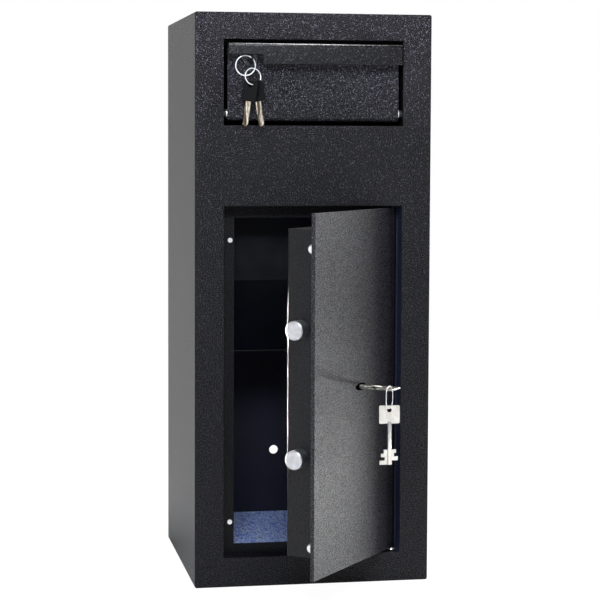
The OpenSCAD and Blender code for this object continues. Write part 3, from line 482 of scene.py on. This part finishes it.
for width_mm, names in (
    (0.9, "door_cover"),
    (0.8, "floor_mat lock_case"),
    (0.6, "door_plate hopper_key_head ring_key_a_head ring_key_b_head bolt_bar"),
    (0.5, "front_panel body_wrap door_frame hopper_frame"),
    (0.4, "hopper_panel handle_lip bolt_guides drive_arm"),
    (0.3, "spare_key door_key latch_cam lock_cover cheek_left cheek_right"),
):
    for name in names.split():
        soften(name, width_mm / 1000)


# Floor, background and lights

FLOOR_HALF = 30
FLOOR_WHITE = (0.85, 0.85, 0.85, 1)
# Seen or mirrored, the floor is mostly glow; the lit rest keeps a faint shadow
FLOOR_GLOW, GLOW_SHARE = 1.08, 0.9
# The room's grey, and how bright it is towards the viewer and behind the object
ROOM_GREY, ROOM_FRONT, ROOM_BACK = 0.8, 0.06, 1.1


def stage_floor():
    """A white floor that is bright in mirrored light behind the cabinet's left, weakly in front."""
    s = FLOOR_HALF
    mesh = bpy.data.meshes.new("floor")
    mesh.from_pydata([(-s, -s, 0), (s, -s, 0), (s, s, 0), (-s, s, 0)], [], [(0, 1, 2, 3)])
    o = bpy.data.objects.new("floor", mesh)
    scene.collection.objects.link(o)

    m = material("floor")
    diffuse = m.new("ShaderNodeBsdfDiffuse")
    diffuse.inputs["Color"].default_value = FLOOR_WHITE
    glow = m.new("ShaderNodeEmission")
    glow.inputs["Color"].default_value = (1, 1, 1, 1)
    glow.inputs["Strength"].default_value = FLOOR_GLOW
    ray = m.new("ShaderNodeLightPath").outputs
    x, y = m.axes(m.coords)[:2]
    behind = m.times(m.ramp(y, 0.2, 1.2), m.ramp(x, 0.3, -0.3))
    near = m.times(m.ramp(y, -2.5, -0.3, 0, 0.4), m.ramp(y, 0.0, 0.2, 1, 0))
    mirrored = m.times(ray["Is Glossy Ray"], m.most(behind, near))
    seen = m.most(ray["Is Camera Ray"], ray["Is Transmission Ray"])
    share = m.times(m.most(seen, mirrored), GLOW_SHARE)
    m.mix_surface(share, diffuse.outputs["BSDF"], glow.outputs["Emission"])
    mesh.materials.append(m.owner)


def stage_world():
    """White to the camera, and to all else a room that is dark in front of the object."""
    world = bpy.data.worlds.new("studio")
    scene.world = world
    m = Nodes(world, "ShaderNodeOutputWorld")
    ray = m.new("ShaderNodeLightPath").outputs
    back = m.axes(m.texture.outputs["Generated"])["Y"]
    room = m.background(ROOM_GREY, m.ramp(back, -0.5, 0.95, ROOM_FRONT, ROOM_BACK))
    m.mix_surface(ray["Is Camera Ray"], room, m.background(1.0, 1.0))


def area(name, place, aim, width, height, power, color=(1, 1, 1), spread=180):
    """A rectangular lamp, with its power in watts and its spread in degrees."""
    data = bpy.data.lights.new(name, "AREA")
    data.shape = "RECTANGLE"
    data.size = width
    data.size_y = height
    data.energy = power
    data.color = color
    data.spread = math.radians(spread)
    o = bpy.data.objects.new(name, data)
    scene.collection.objects.link(o)
    o.location = place
    o.rotation_euler = (Vector(aim) - Vector(place)).to_track_quat("-Z", "Y").to_euler()
    o.visible_camera = False


stage_floor()
stage_world()

# Each lamp: name, place, aim, width, height and power, then its colour or spread
area("left_front", (-2.6, -1.5, 0.9), (0, 0, 0.45), 1.3, 1.9, 12)
area("edge_light", (-0.100, -0.140, 0.295), (-0.075, -0.27, 0.295), 0.012, 0.25, 0.5, spread=50)
area("right_side", (2.1, 0.95, 0.55), (0.1, -0.1, 0.4), 1.0, 1.2, 2)
area("right_low", (0.85, 0.18, 0.05), (0.04, -0.26, 0.0), 0.4, 0.16, 1.02, spread=68)
area("right_high", (0.85, 0.18, 0.75), (0.04, -0.26, 0.62), 0.4, 0.16, 0.56, spread=60)
area("front_right", (0.9, -3.0, 0.35), (0, -0.17, 0.35), 0.6, 1.0, 3.0)
area("front_left", (-1.6, -2.3, 0.5), (0.1, -0.17, 0.3), 0.4, 0.9, 4, (0.55, 0.70, 1.0))
area("front_sky", (-0.5, -2.3, 1.7), (-0.08, -0.05, 0.1), 0.5, 0.4, 18, (0.60, 0.74, 1.0))
area("top_front", (-0.1, -1.25, 1.3), (0, -0.17, 0.85), 0.7, 0.35, 12)
area("overhead", (0.25, -0.12, 2.2), (0.05, -0.2, 0.8), 0.9, 0.5, 60)
